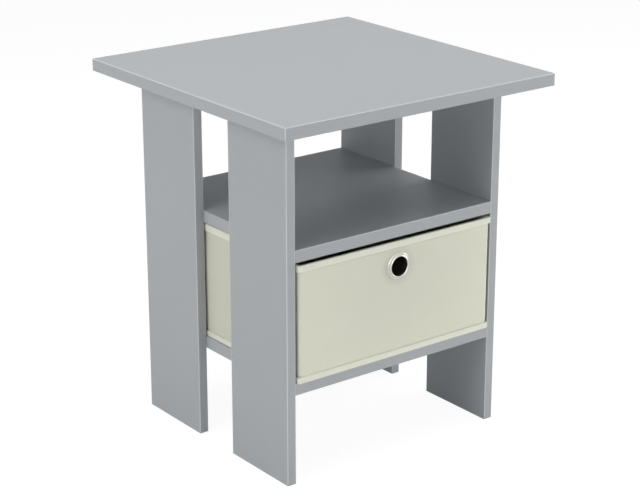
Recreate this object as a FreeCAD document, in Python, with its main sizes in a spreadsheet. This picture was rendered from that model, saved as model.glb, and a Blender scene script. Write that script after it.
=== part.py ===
import FreeCAD, Part

import os
import re
import Sketcher

# Side table with a fabric drawer bin. Millimetres, +Z up, front towards -Y, +X to the right as seen
# from the front. The origin is on the floor, under the middle of the top.

SIZES = {
    # table
    "table_width": 394,
    "table_depth": 394,
    "table_height": 450,
    "top_thickness": 15,
    "shelf_thickness": 15,
    "leg_thickness": 12,
    "leg_width": 112,
    "side_overhang": 37.5,
    "front_overhang": 50,
    "bottom_shelf_underside": 112,
    "middle_shelf_underside": 273.5,
    "edge_round": 0.6,
    # knock-down fittings
    "dowel_diameter": 6,
    "dowel_length": 24,
    "dowel_shallow_reach": 8,
    "dowel_chamfer": 0.8,
    "dowel_spacing": 64,
    "dowel_fit": 0.05,
    "bore_end_play": 0.5,
    "cam_set": 24,
    "cam_fit": 0.1,
    "shelf_cam_diameter": 15,
    "leg_cam_diameter": 12,
    "cam_bore_floor": 2.2,
    "cam_recess_width": 1.4,
    "cam_recess_length": 8,
    "cam_recess_depth": 2,
    "cam_slot_play": 0.5,
    "bolt_thread_diameter": 5,
    "bolt_thread_length": 8,
    "bolt_thread_fit": 0.05,
    "bolt_collar_thickness": 1,
    "bolt_head_diameter": 6,
    "bolt_head_length": 3.4,
    "bolt_neck_diameter": 3.2,
    "bolt_shank_length": 15,
    "bolt_bore_play": 0.5,
    # bin
    "bin_side_gap": 3.5,
    "bin_head_gap": 3.5,
    "bin_seat_gap": 0.3,
    "bin_proud": 2,
    "bin_back_gap": 8,
    "fabric_thickness": 0.8,
    "stiffener_thickness": 2.4,
    "stiffener_end_gap": 1.5,
    "base_board_thickness": 3,
    "base_board_play": 1,
    "binding_thickness": 1.6,
    "top_binding_height": 7.4,
    "bottom_binding_height": 6.5,
    "bottom_binding_reach": 8,
    # grommet round the finger hole
    "grommet_outer_diameter": 34,
    "grommet_hole_diameter": 25,
    "grommet_wall": 0.8,
    "grommet_fit": 0.1,
    "grommet_drop": 31.4,
    "grommet_shift": 1.4,
    "washer_thickness": 0.8,
    "clinch_width": 1,
    "clinch_thickness": 0.6,
}

DERIVED = {
    "leg_height": "table_height - top_thickness",
    "shelf_width": "table_width - 2 * side_overhang - 2 * leg_thickness",
    "shelf_depth": "table_depth - 2 * front_overhang",
    "leg_centre_x": "shelf_width / 2 + leg_thickness / 2",
    "leg_centre_y": "shelf_depth / 2 - leg_width / 2",
    "bottom_shelf_axis": "bottom_shelf_underside + shelf_thickness / 2",
    "middle_shelf_axis": "middle_shelf_underside + shelf_thickness / 2",
    "cam_line_x": "shelf_width / 2 - cam_set",
    "dowel_bore": "dowel_diameter + 2 * dowel_fit",
    "dowel_deep_reach": "dowel_length - dowel_shallow_reach",
    "bolt_bore": "bolt_head_diameter + 2 * bolt_bore_play",
    "bolt_bore_depth": "cam_set + bolt_head_length / 2 + bore_end_play",
    "thread_bore": "bolt_thread_diameter + 2 * bolt_thread_fit",
    "shelf_cam_bore_depth": "shelf_thickness - cam_bore_floor",
    "leg_cam_bore_depth": "leg_thickness - cam_bore_floor",
    "bin_bottom": "bottom_shelf_underside + shelf_thickness + bin_seat_gap",
    "bin_top": "middle_shelf_underside - bin_head_gap",
    "bin_width": "shelf_width - 2 * bin_side_gap",
    "bin_depth": "shelf_depth + bin_proud - bin_back_gap",
    "bin_centre_y": "(bin_back_gap + bin_proud) / -2",
    "skin_bottom": "bin_bottom + binding_thickness",
    "skin_height": "bin_top - bin_bottom - 2 * binding_thickness",
    "lining_width": "bin_width - 2 * fabric_thickness - 2 * stiffener_thickness",
    "lining_depth": "bin_depth - 2 * fabric_thickness - 2 * stiffener_thickness",
    "wall_thickness": "2 * fabric_thickness + stiffener_thickness",
    "stiffener_bottom": "skin_bottom + fabric_thickness",
    "stiffener_height": "skin_height - fabric_thickness",
    "grommet_height": "bin_top - grommet_drop",
    "grommet_bore": "grommet_hole_diameter + 2 * grommet_wall + 2 * grommet_fit",
    "grommet_roll": "(grommet_outer_diameter - grommet_hole_diameter) / 4",
    "grommet_barrel": "wall_thickness + washer_thickness",
}

doc = FreeCAD.newDocument("side_table")
subparts = []


def make_sheet():
    """The spreadsheet of driving dimensions: a name, a plain number and its alias on each row."""
    sheet = doc.addObject("Spreadsheet::Sheet", "sizes")
    for row, (alias, value) in enumerate(SIZES.items(), start=1):
        sheet.set(f"A{row}", alias)
        sheet.set(f"B{row}", str(value))
        sheet.setAlias(f"B{row}", alias)
    doc.recompute()


def formula(text):
    """A sheet expression: every derived name spelled out, every driving name read from the sheet."""

    def spell(match):
        word = match.group(0)
        if word in DERIVED:
            return "(" + formula(DERIVED[word]) + ")"
        return f"sizes.{word}" if word in SIZES else word

    return re.sub(r"[a-z_]+[a-z_0-9]*", spell, text)


def bind(thing, prop, text):
    thing.setExpression(prop, formula(text))


def place(thing, x="0", y="0", z="0", rotation=FreeCAD.Rotation()):
    """Turns a piece, and binds its place to the sheet."""
    thing.Placement = FreeCAD.Placement(FreeCAD.Vector(), rotation)
    for axis, text in zip("xyz", (x, y, z)):
        bind(thing, f"Placement.Base.{axis}", text)


def half_turn():
    return FreeCAD.Rotation(FreeCAD.Vector(0, 0, 1), 180)


def turned_to(x, y, z):
    """The rotation that takes a piece's own +Z to this direction."""
    return FreeCAD.Rotation(FreeCAD.Vector(0, 0, 1), FreeCAD.Vector(x, y, z))


def keep(thing, label):
    """Names a finished sub-part, which is written to a file of that name."""
    thing.Label = label
    subparts.append(thing)
    return thing


# Sketches and features of a body


def add_body(name):
    return doc.addObject("PartDesign::Body", name)


def add_sketch(body, name, plane, offset="0"):
    sketch = body.newObject("Sketcher::SketchObject", name)
    support = next(item for item in body.Origin.OriginFeatures if item.Role == plane)
    sketch.AttachmentSupport = (support, [""])
    sketch.MapMode = "FlatFace"
    bind(sketch, "AttachmentOffset.Base.z", offset)
    return sketch


def bound_constraint(sketch, kind, places, text, start):
    """A sketch size that follows the sheet, from a starting value."""
    index = sketch.addConstraint(Sketcher.Constraint(kind, *places, start))
    name = f"size_{index}"
    sketch.renameConstraint(index, name)
    bind(sketch, f"Constraints.{name}", text)


def draw_rectangle(sketch, width, height, standing=False):
    """A rectangle centred on the sketch's origin, or standing on its horizontal axis."""
    low = 0 if standing else -5
    corners = [(-5, low), (5, low), (5, low + 10), (-5, low + 10)]
    first = sketch.GeometryCount
    for start, end in zip(corners, corners[1:] + corners[:1]):
        line = Part.LineSegment(FreeCAD.Vector(*start, 0), FreeCAD.Vector(*end, 0))
        sketch.addGeometry(line)
    for side in range(4):
        following = first + (side + 1) % 4
        sketch.addConstraint(Sketcher.Constraint("Coincident", first + side, 2, following, 1))
        direction = "Vertical" if side % 2 else "Horizontal"
        sketch.addConstraint(Sketcher.Constraint(direction, first + side))
    opposite = (first, 2) if standing else (first + 1, 2)
    sketch.addConstraint(Sketcher.Constraint("Symmetric", first, 1, *opposite, -1, 1))
    bound_constraint(sketch, "DistanceX", (first, 1, first, 2), width, 10)
    bound_constraint(sketch, "DistanceY", (first + 1, 1, first + 1, 2), height, 10)


def hold_point(sketch, shape, axis, text):
    """Holds a circle's centre on an axis, or at a distance from the origin on either side of it."""
    across = {"X": -2, "Y": -1}[axis]
    if text == "0":
        sketch.addConstraint(Sketcher.Constraint("PointOnObject", shape, 3, across))
    elif text.startswith("-"):
        bound_constraint(sketch, f"Distance{axis}", (shape, 3, -1, 1), text[1:], 5)
    else:
        bound_constraint(sketch, f"Distance{axis}", (-1, 1, shape, 3), text, 5)


def draw_circle(sketch, diameter, x="0", y="0"):
    start = [0 if text == "0" else -5 if text.startswith("-") else 5 for text in (x, y)]
    circle = Part.Circle(FreeCAD.Vector(*start, 0), FreeCAD.Vector(0, 0, 1), 2)
    shape = sketch.addGeometry(circle)
    hold_point(sketch, shape, "X", x)
    hold_point(sketch, shape, "Y", y)
    bound_constraint(sketch, "Diameter", (shape,), diameter, 4)


def add_pad(body, sketch, length, reverse=False):
    feature = body.newObject("PartDesign::Pad", f"{sketch.Name}_pad")
    feature.Profile = sketch
    feature.Reversed = reverse
    bind(feature, "Length", length)
    return feature


def add_pocket(body, sketch, length, reverse=False):
    """Cuts a sketch into its body, against the sketch's normal, or along it when reversed."""
    feature = body.newObject("PartDesign::Pocket", f"{sketch.Name}_cut")
    feature.Profile = sketch
    feature.Reversed = reverse
    bind(feature, "Length", length)
    return feature


def round_edges(body, radius):
    """Rounds every edge that the body has so far."""
    base = body.Tip
    doc.recompute()
    feature = body.newObject("PartDesign::Fillet", f"{body.Name}_round")
    feature.Base = (base, ["Edge1"])
    feature.UseAllEdges = True
    bind(feature, "Radius", radius)


# Boards of the table


def make_board(name, width, depth, thickness):
    """A flat laminated board that lies on its own XY plane, centred on its origin."""
    body = add_body(name)
    outline = add_sketch(body, f"{name}_outline", "XY_Plane")
    draw_rectangle(outline, width, depth)
    add_pad(body, outline, thickness)
    round_edges(body, "edge_round")
    return body


def both_signs(text):
    return (text, f"-({text})")


def dowel_lines():
    """The four places along Y where dowels lie, two for each leg."""
    outer = both_signs("leg_centre_y + dowel_spacing / 2")
    return outer + both_signs("leg_centre_y - dowel_spacing / 2")


def make_top():
    """The top panel, with blind bores in its underside for the legs' dowels and bolts."""
    name = "top_panel"
    body = make_board(name, "table_width", "table_depth", "top_thickness")
    threads = add_sketch(body, f"{name}_thread_bores", "XY_Plane")
    dowels = add_sketch(body, f"{name}_dowel_bores", "XY_Plane")
    for x in both_signs("leg_centre_x"):
        for y in both_signs("leg_centre_y"):
            draw_circle(threads, "thread_bore", x, y)
        for y in dowel_lines():
            draw_circle(dowels, "dowel_bore", x, y)
    add_pocket(body, threads, "bolt_thread_length + bore_end_play", reverse=True)
    add_pocket(body, dowels, "dowel_shallow_reach + bore_end_play", reverse=True)
    place(body, z="leg_height")
    keep(body, name)


def make_shelf(name, underside):
    """A shelf, with cam bores in its underside and dowel and bolt bores in both ends."""
    body = make_board(name, "shelf_width", "shelf_depth", "shelf_thickness")
    cams = add_sketch(body, f"{name}_cam_bores", "XY_Plane")
    for x in both_signs("cam_line_x"):
        for y in both_signs("leg_centre_y"):
            draw_circle(cams, "shelf_cam_diameter + 2 * cam_fit", x, y)
    add_pocket(body, cams, "shelf_cam_bore_depth", reverse=True)
    for side, offset in (("right", "shelf_width / 2"), ("left", "shelf_width / -2")):
        bolts = add_sketch(body, f"{name}_{side}_bolt_bores", "YZ_Plane", offset)
        dowels = add_sketch(body, f"{name}_{side}_dowel_bores", "YZ_Plane", offset)
        for y in both_signs("leg_centre_y"):
            draw_circle(bolts, "bolt_bore", y, "shelf_thickness / 2")
        for y in dowel_lines():
            draw_circle(dowels, "dowel_bore", y, "shelf_thickness / 2")
        inwards = side == "left"
        add_pocket(body, bolts, "bolt_bore_depth", reverse=inwards)
        add_pocket(body, dowels, "dowel_deep_reach + bore_end_play", reverse=inwards)
    place(body, z=underside)
    keep(body, name)


def make_leg(name, side, end):
    """A leg: its own +X is the outer face's side, and its bores are in the inner face and top end."""
    body = add_body(name)
    outline = add_sketch(body, f"{name}_outline", "YZ_Plane")
    draw_rectangle(outline, "leg_width", "leg_height", standing=True)
    add_pad(body, outline, "leg_thickness")
    round_edges(body, "edge_round")
    threads = add_sketch(body, f"{name}_thread_bores", "YZ_Plane")
    dowels = add_sketch(body, f"{name}_dowel_bores", "YZ_Plane")
    for level in ("bottom_shelf_axis", "middle_shelf_axis"):
        draw_circle(threads, "thread_bore", "0", level)
        for y in both_signs("dowel_spacing / 2"):
            draw_circle(dowels, "dowel_bore", y, level)
    add_pocket(body, threads, "bolt_thread_length + bore_end_play", reverse=True)
    add_pocket(body, dowels, "dowel_shallow_reach + bore_end_play", reverse=True)
    cam = add_sketch(body, f"{name}_cam_bore", "YZ_Plane")
    draw_circle(cam, "leg_cam_diameter + 2 * cam_fit", "0", "leg_height - cam_set")
    add_pocket(body, cam, "leg_cam_bore_depth", reverse=True)
    bolt = add_sketch(body, f"{name}_bolt_bore", "XY_Plane", "leg_height")
    draw_circle(bolt, "bolt_bore", "leg_thickness / 2")
    add_pocket(body, bolt, "bolt_bore_depth")
    end_dowels = add_sketch(body, f"{name}_end_dowel_bores", "XY_Plane", "leg_height")
    for y in both_signs("dowel_spacing / 2"):
        draw_circle(end_dowels, "dowel_bore", "leg_thickness / 2", y)
    add_pocket(body, end_dowels, "dowel_deep_reach + bore_end_play")
    turn = half_turn() if side < 0 else FreeCAD.Rotation()
    place(body, f"{side} * shelf_width / 2", f"{end} * leg_centre_y", "0", turn)
    keep(body, name)


# Knock-down fittings. Each pattern piece has its own +Z along its axis, with its origin where two
# boards meet, and points into the board that holds the long bore.


def make_dowel_pattern():
    """A wooden dowel with chamfered ends."""
    tip = "dowel_diameter / 2 - dowel_chamfer"
    low = "dowel_shallow_reach"
    stages = (
        ("Part::Cone", tip, "dowel_diameter / 2", "dowel_chamfer", f"-{low}"),
        ("Part::Cylinder", None, "dowel_diameter / 2", "dowel_length - 2 * dowel_chamfer",
         f"dowel_chamfer - {low}"),
        ("Part::Cone", "dowel_diameter / 2", tip, "dowel_chamfer",
         f"dowel_length - dowel_chamfer - {low}"),
    )
    return fuse_stages("dowel_pattern", stages)


def make_bolt_pattern():
    """A cam bolt: thread, collar, shank, thin neck and head, whose middle lies at the cam's centre."""
    thread = "bolt_thread_diameter / 2"
    head_start = "cam_set - bolt_head_length / 2"
    stages = (
        ("Part::Cylinder", None, thread, "bolt_thread_length + bolt_shank_length",
         "-bolt_thread_length"),
        ("Part::Cylinder", None, "bolt_head_diameter / 2", "bolt_collar_thickness", "0"),
        ("Part::Cylinder", None, "bolt_neck_diameter / 2", head_start, "0"),
        ("Part::Cylinder", None, "bolt_head_diameter / 2", "bolt_head_length", head_start),
    )
    return fuse_stages("bolt_pattern", stages)


def fuse_stages(name, stages):
    """One turned solid from cylinders and cones in line along Z."""
    pieces = []
    for number, (kind, low_radius, high_radius, length, start) in enumerate(stages):
        piece = doc.addObject(kind, f"{name}_{number}")
        if low_radius is None:
            bind(piece, "Radius", high_radius)
        else:
            bind(piece, "Radius1", low_radius)
            bind(piece, "Radius2", high_radius)
        bind(piece, "Height", length)
        place(piece, z=start)
        pieces.append(piece)
    fusion = doc.addObject("Part::MultiFuse", name)
    fusion.Shapes = pieces
    fusion.Refine = True
    return fusion


def make_cam_pattern(name, diameter, board):
    """A cam disc for a board of this thickness, face down: a slot for the bolt's neck, a pocket for
    its head and a driver cross. The bolt lies in the middle of the board."""
    length = f"({board} - cam_bore_floor - bore_end_play)"
    above_bolt = f"{length} - {board} / 2"
    body = add_body(name)
    disc = add_sketch(body, f"{name}_disc", "XY_Plane")
    draw_circle(disc, diameter)
    add_pad(body, disc, length)
    doc.recompute()
    head = add_sketch(body, f"{name}_head", "XY_Plane", length)
    draw_rectangle(head, "bolt_head_length + 2 * cam_slot_play", "bolt_bore")
    add_pocket(body, head, f"{above_bolt} + bolt_bore / 2")
    neck = add_sketch(body, f"{name}_neck", "XY_Plane", length)
    draw_neck_slot(neck, diameter)
    add_pocket(body, neck, f"{above_bolt} + bolt_neck_diameter / 2 + cam_slot_play")
    for number, (across, along) in enumerate(
        (("cam_recess_width", "cam_recess_length"), ("cam_recess_length", "cam_recess_width"))
    ):
        recess = add_sketch(body, f"{name}_recess_{number}", "XY_Plane")
        draw_rectangle(recess, across, along)
        add_pocket(body, recess, "cam_recess_depth", reverse=True)
    return body


def draw_neck_slot(sketch, diameter):
    """A slot from the disc's middle out past its rim, towards +X."""
    corners = [(0, -2), (10, -2), (10, 2), (0, 2)]
    for start, end in zip(corners, corners[1:] + corners[:1]):
        line = Part.LineSegment(FreeCAD.Vector(*start, 0), FreeCAD.Vector(*end, 0))
        sketch.addGeometry(line)
    for side in range(4):
        sketch.addConstraint(Sketcher.Constraint("Coincident", side, 2, (side + 1) % 4, 1))
    for side in (0, 2):
        sketch.addConstraint(Sketcher.Constraint("Horizontal", side))
    sketch.addConstraint(Sketcher.Constraint("Vertical", 1))
    sketch.addConstraint(Sketcher.Constraint("Symmetric", 3, 1, 3, 2, -1, 1))
    bound_constraint(sketch, "DistanceX", (0, 1, 0, 2), diameter, 10)
    bound_constraint(
        sketch, "DistanceY", (1, 1, 1, 2), "bolt_neck_diameter + 2 * cam_slot_play", 4
    )


def add_group(name, pattern, spots):
    """Copies of one fitting, as the separate solids of one sub-part."""
    copies = []
    for number, spot in enumerate(spots, start=1):
        copy = doc.addObject("App::Link", f"{name}_{number}")
        copy.setLink(pattern)
        place(copy, *spot)
        copies.append(copy)
    group = doc.addObject("Part::Compound", name)
    group.Links = copies
    keep(group, name)


def make_shelf_fittings(shelf, underside, cam, bolt, dowel):
    """What joins one shelf to the four legs."""
    cams, bolts, dowels = [], [], []
    axis = f"{underside} + shelf_thickness / 2"
    for side in (1, -1):
        into_shelf = turned_to(-side, 0, 0)
        facing = FreeCAD.Rotation() if side > 0 else half_turn()
        for y in both_signs("leg_centre_y"):
            cams.append((f"{side} * (cam_line_x)", y, underside, facing))
            bolts.append((f"{side} * shelf_width / 2", y, axis, into_shelf))
        for y in dowel_lines():
            dowels.append((f"{side} * shelf_width / 2", y, axis, into_shelf))
    add_group(f"{shelf}_cams", cam, cams)
    add_group(f"{shelf}_cam_bolts", bolt, bolts)
    add_group(f"{shelf}_dowels", dowel, dowels)


def make_top_fittings(cam, bolt, dowel):
    """What joins the top to the four legs: its cams lie in the legs' inner faces."""
    cams, bolts, dowels = [], [], []
    into_leg = turned_to(0, 0, -1)
    for side in (1, -1):
        x = f"{side} * leg_centre_x"
        up, out = FreeCAD.Vector(0, 0, 1), FreeCAD.Vector(side, 0, 0)
        facing = FreeCAD.Rotation(up, FreeCAD.Vector(), out, "ZXY")
        for y in both_signs("leg_centre_y"):
            cams.append((f"{side} * shelf_width / 2", y, "leg_height - cam_set", facing))
            bolts.append((x, y, "leg_height", into_leg))
        for y in dowel_lines():
            dowels.append((x, y, "leg_height", into_leg))
    add_group("top_cams", cam, cams)
    add_group("top_cam_bolts", bolt, bolts)
    add_group("top_dowels", dowel, dowels)


# The bin: a fabric skin and lining over four stiffener boards, bound with tape at rim and foot


def cut_finger_hole(body, name, front_face, foot):
    """The grommet's bore through a front wall, in a piece whose own +Y points to the back."""
    hole = add_sketch(body, f"{name}_finger_hole", "XZ_Plane", front_face)
    draw_circle(hole, "grommet_bore", "grommet_shift", f"grommet_height - {foot}")
    add_pocket(body, hole, "wall_thickness")


def make_fabric_box(name, width, depth, height, foot):
    """An open box of fabric with a finger hole in its front."""
    body = add_body(name)
    outline = add_sketch(body, f"{name}_outline", "XY_Plane")
    draw_rectangle(outline, width, depth)
    add_pad(body, outline, height)
    hollow = add_sketch(body, f"{name}_hollow", "XY_Plane", height)
    draw_rectangle(hollow, f"{width} - 2 * fabric_thickness", f"{depth} - 2 * fabric_thickness")
    add_pocket(body, hollow, f"{height} - fabric_thickness")
    cut_finger_hole(body, name, f"{depth} / 2", foot)
    place(body, y="bin_centre_y", z=foot)
    keep(body, name)


def make_stiffener(name, width, x, y, turn):
    """A stiffener board inside one wall: its own -Y is its outer face's side."""
    body = add_body(name)
    outline = add_sketch(body, f"{name}_outline", "XZ_Plane")
    draw_rectangle(outline, width, "stiffener_height", standing=True)
    add_pad(body, outline, "stiffener_thickness")
    if name.startswith("front"):
        cut_finger_hole(body, name, "stiffener_thickness", "stiffener_bottom")
    rotation = FreeCAD.Rotation(FreeCAD.Vector(0, 0, 1), turn)
    place(body, x, y, "stiffener_bottom", rotation)
    keep(body, name)


def make_base_board():
    """The loose board on the floor of the bin, inside the lining."""
    name = "base_board"
    body = add_body(name)
    outline = add_sketch(body, f"{name}_outline", "XY_Plane")
    inset = "2 * (fabric_thickness + base_board_play)"
    draw_rectangle(outline, f"lining_width - {inset}", f"lining_depth - {inset}")
    add_pad(body, outline, "base_board_thickness")
    place(body, y="bin_centre_y", z="stiffener_bottom + fabric_thickness")
    keep(body, name)


def start_binding(name, height):
    """A square ring of tape, still filled in, that stands proud of the skin all round."""
    body = add_body(name)
    outline = add_sketch(body, f"{name}_outline", "XY_Plane")
    proud = "2 * binding_thickness"
    draw_rectangle(outline, f"bin_width + {proud}", f"bin_depth + {proud}")
    add_pad(body, outline, height)
    return body


def make_top_binding():
    """Tape folded over the rim, down both sides of the wall."""
    name = "top_binding"
    body = start_binding(name, "top_binding_height")
    channel = add_sketch(body, f"{name}_channel", "XY_Plane")
    draw_rectangle(channel, "bin_width", "bin_depth")
    draw_rectangle(channel, "bin_width - 2 * wall_thickness", "bin_depth - 2 * wall_thickness")
    add_pocket(body, channel, "top_binding_height - binding_thickness", reverse=True)
    mouth = add_sketch(body, f"{name}_mouth", "XY_Plane")
    inset = "2 * (wall_thickness + binding_thickness)"
    draw_rectangle(mouth, f"bin_width - {inset}", f"bin_depth - {inset}")
    add_pocket(body, mouth, "top_binding_height", reverse=True)
    place(body, y="bin_centre_y", z="bin_top - top_binding_height")
    keep(body, name)


def make_bottom_binding():
    """Tape round the foot of the walls, turned in under the floor."""
    name = "bottom_binding"
    body = start_binding(name, "bottom_binding_height")
    seat = add_sketch(body, f"{name}_seat", "XY_Plane", "bottom_binding_height")
    draw_rectangle(seat, "bin_width", "bin_depth")
    add_pocket(body, seat, "bottom_binding_height - binding_thickness")
    mouth = add_sketch(body, f"{name}_mouth", "XY_Plane")
    inset = "2 * bottom_binding_reach"
    draw_rectangle(mouth, f"bin_width - {inset}", f"bin_depth - {inset}")
    add_pocket(body, mouth, "bottom_binding_height", reverse=True)
    place(body, y="bin_centre_y", z="bin_bottom")
    keep(body, name)


# The grommet: +Z points out of the bin's front, and z = 0 is the skin's outer face


def add_disc(name, radius, height, start):
    disc = doc.addObject("Part::Cylinder", name)
    bind(disc, "Radius", radius)
    bind(disc, "Height", height)
    place(disc, z=start)
    return disc


def add_boolean(kind, name, base, tool):
    result = doc.addObject(kind, name)
    result.Base = base
    result.Tool = tool
    return result


def place_on_front(thing, name):
    front = "bin_centre_y - bin_depth / 2"
    place(thing, "grommet_shift", front, "grommet_height", turned_to(0, -1, 0))
    keep(thing, name)


def make_grommet_ring():
    """A rolled ring on the front, with a barrel through the wall that is clinched at the back."""
    name = "grommet_ring"
    roll = doc.addObject("Part::Torus", f"{name}_roll")
    bind(roll, "Radius1", "(grommet_outer_diameter + grommet_hole_diameter) / 4")
    bind(roll, "Radius2", "grommet_roll")
    front = add_disc(f"{name}_front", "grommet_outer_diameter", "grommet_outer_diameter", "0")
    dome = add_boolean("Part::Common", f"{name}_dome", roll, front)
    barrel_radius = "grommet_hole_diameter / 2 + grommet_wall"
    barrel = add_disc(f"{name}_barrel", barrel_radius, "grommet_barrel", "-grommet_barrel")
    clinch_start = "-(grommet_barrel + clinch_thickness)"
    clinch = add_disc(
        f"{name}_clinch", f"{barrel_radius} + clinch_width", "clinch_thickness", clinch_start
    )
    tube = add_boolean("Part::Fuse", f"{name}_tube", barrel, clinch)
    length = "grommet_barrel + clinch_thickness"
    bore = add_disc(f"{name}_bore", "grommet_hole_diameter / 2", length, clinch_start)
    sleeve = add_boolean("Part::Cut", f"{name}_sleeve", tube, bore)
    ring = add_boolean("Part::Fuse", name, dome, sleeve)
    place_on_front(ring, name)


def make_grommet_washer():
    """The washer on the inside of the wall, held by the ring's clinched barrel."""
    name = "grommet_washer"
    start = "-grommet_barrel"
    outer = add_disc(f"{name}_disc", "grommet_outer_diameter / 2", "washer_thickness", start)
    inner = add_disc(f"{name}_bore", "grommet_bore / 2", "washer_thickness", start)
    place_on_front(add_boolean("Part::Cut", name, outer, inner), name)


def make_table():
    make_top()
    for end, end_name in ((-1, "front"), (1, "rear")):
        for side, side_name in ((-1, "left"), (1, "right")):
            make_leg(f"{end_name}_{side_name}_leg", side, end)
    bolt = make_bolt_pattern()
    dowel = make_dowel_pattern()
    shelf_cam = make_cam_pattern("shelf_cam_pattern", "shelf_cam_diameter", "shelf_thickness")
    leg_cam = make_cam_pattern("leg_cam_pattern", "leg_cam_diameter", "leg_thickness")
    for shelf in ("bottom_shelf", "middle_shelf"):
        make_shelf(shelf, f"{shelf}_underside")
        make_shelf_fittings(shelf, f"{shelf}_underside", shelf_cam, bolt, dowel)
    make_top_fittings(leg_cam, bolt, dowel)


def make_bin():
    make_fabric_box("outer_skin", "bin_width", "bin_depth", "skin_height", "skin_bottom")
    make_fabric_box(
        "inner_lining", "lining_width", "lining_depth", "stiffener_height", "stiffener_bottom"
    )
    full_width = "bin_width - 2 * fabric_thickness - 2 * stiffener_end_gap"
    front, back = "bin_centre_y - lining_depth / 2", "bin_centre_y + lining_depth / 2"
    make_stiffener("front_stiffener", full_width, "0", front, 0)
    make_stiffener("back_stiffener", full_width, "0", back, 180)
    make_stiffener("left_stiffener", "lining_depth", "lining_width / -2", "bin_centre_y", -90)
    make_stiffener("right_stiffener", "lining_depth", "lining_width / 2", "bin_centre_y", 90)
    make_base_board()
    make_top_binding()
    make_bottom_binding()
    make_grommet_ring()
    make_grommet_washer()


def check_model():
    """Stops on a failed feature, a cut that removed nothing or an invalid sub-part."""
    for item in doc.Objects:
        if {"Invalid", "Error"} & set(item.State):
            raise ValueError(f"{item.Name} failed: {item.State}")
        if item.TypeId == "PartDesign::Pocket":
            before = item.BaseFeature.Shape.Volume
            if item.Shape.Volume > before - 1e-3:
                raise ValueError(f"{item.Name} cut nothing")
    for item in subparts:
        if item.Shape.isNull() or not item.Shape.isValid():
            raise ValueError(f"{item.Label} has no valid shape")


def write_parts():
    os.makedirs("parts", exist_ok=True)
    for item in subparts:
        item.Shape.exportStep(f"parts/{item.Label}.step")
        box = item.Shape.BoundBox
        print(item.Label, len(item.Shape.Solids), "solids", box)


make_sheet()
make_table()
make_bin()
doc.recompute()
check_model()
write_parts()
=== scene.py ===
"""A small side table with a pull-out fabric bin: boards, fittings, cloth, eyelet and studio."""

import math
from contextlib import contextmanager

import bmesh
import bpy
from bpy.props import FloatProperty, FloatVectorProperty, PointerProperty
from bpy.types import Operator, Panel, PropertyGroup
from mathutils import Euler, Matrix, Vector, noise


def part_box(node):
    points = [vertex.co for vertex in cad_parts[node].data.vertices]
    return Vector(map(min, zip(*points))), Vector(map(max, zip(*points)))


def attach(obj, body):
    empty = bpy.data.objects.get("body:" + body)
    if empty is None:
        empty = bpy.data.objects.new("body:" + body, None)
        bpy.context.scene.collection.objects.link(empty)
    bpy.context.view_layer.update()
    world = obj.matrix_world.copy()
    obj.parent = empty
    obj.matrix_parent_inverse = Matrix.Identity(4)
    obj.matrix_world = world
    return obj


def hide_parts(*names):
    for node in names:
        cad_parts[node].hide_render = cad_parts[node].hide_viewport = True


bl_info = {
    "name": "Side table with a fabric bin",
    "version": (1, 0, 0),
    "blender": (4, 5, 0),
    "location": "View3D > Sidebar > Side table",
    "description": "Finishes the boards of a side table and sews its pull-out bin",
    "category": "Add Mesh",
}

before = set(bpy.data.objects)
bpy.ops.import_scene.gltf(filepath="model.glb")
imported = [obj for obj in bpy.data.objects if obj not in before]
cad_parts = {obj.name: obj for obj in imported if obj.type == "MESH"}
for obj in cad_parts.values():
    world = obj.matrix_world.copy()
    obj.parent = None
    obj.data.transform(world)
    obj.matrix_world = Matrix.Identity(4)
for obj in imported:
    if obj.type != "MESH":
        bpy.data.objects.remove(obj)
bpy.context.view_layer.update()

MM = 0.001
UP = Vector((0, 0, 1))
RING_LOW, RING_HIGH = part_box("grommet_ring")
HOLE = (RING_LOW + RING_HIGH) / 2
SKIN_LOW, SKIN_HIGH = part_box("outer_skin")
FLANK_MIDDLE = (SKIN_LOW.x + SKIN_HIGH.x) / 2
FLANK_REACH = (SKIN_HIGH.x - SKIN_LOW.x) / 2


def shade(red, green, blue):
    """A colour given in 0 to 255 screen values, as the linear values that shaders use."""
    levels = [level / 255 for level in (red, green, blue)]
    return tuple(v / 12.92 if v < 0.04045 else ((v + 0.055) / 1.055) ** 2.4 for v in levels)


def colour(name, description, *levels):
    """A colour that the user may change."""
    return FloatVectorProperty(
        name=name, description=description, subtype="COLOR", default=shade(*levels), min=0, max=1
    )


def distance(name, description, default):
    """A length in metres that the user may change."""
    return FloatProperty(
        name=name, description=description, default=default, min=0, subtype="DISTANCE", unit="LENGTH"
    )


def angle(name, description, degrees):
    """An angle that the user may change."""
    return FloatProperty(
        name=name, description=description, default=math.radians(degrees), subtype="ANGLE", unit="ROTATION"
    )


# Sizes and colours that a user may change


class BoardFinish(PropertyGroup):
    """How the laminated boards and their fittings look."""

    laminate: colour("Laminate", "Colour of the boards' faces and edge bands", 180, 184, 187)
    zinc: colour("Zinc", "Colour of the cams and cam bolts", 196, 197, 196)
    beech: colour("Beech", "Colour of the dowels", 214, 184, 142)
    edge_band: distance("Edge band", "Thickness of the band glued round each board", 0.8 * MM)


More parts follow.
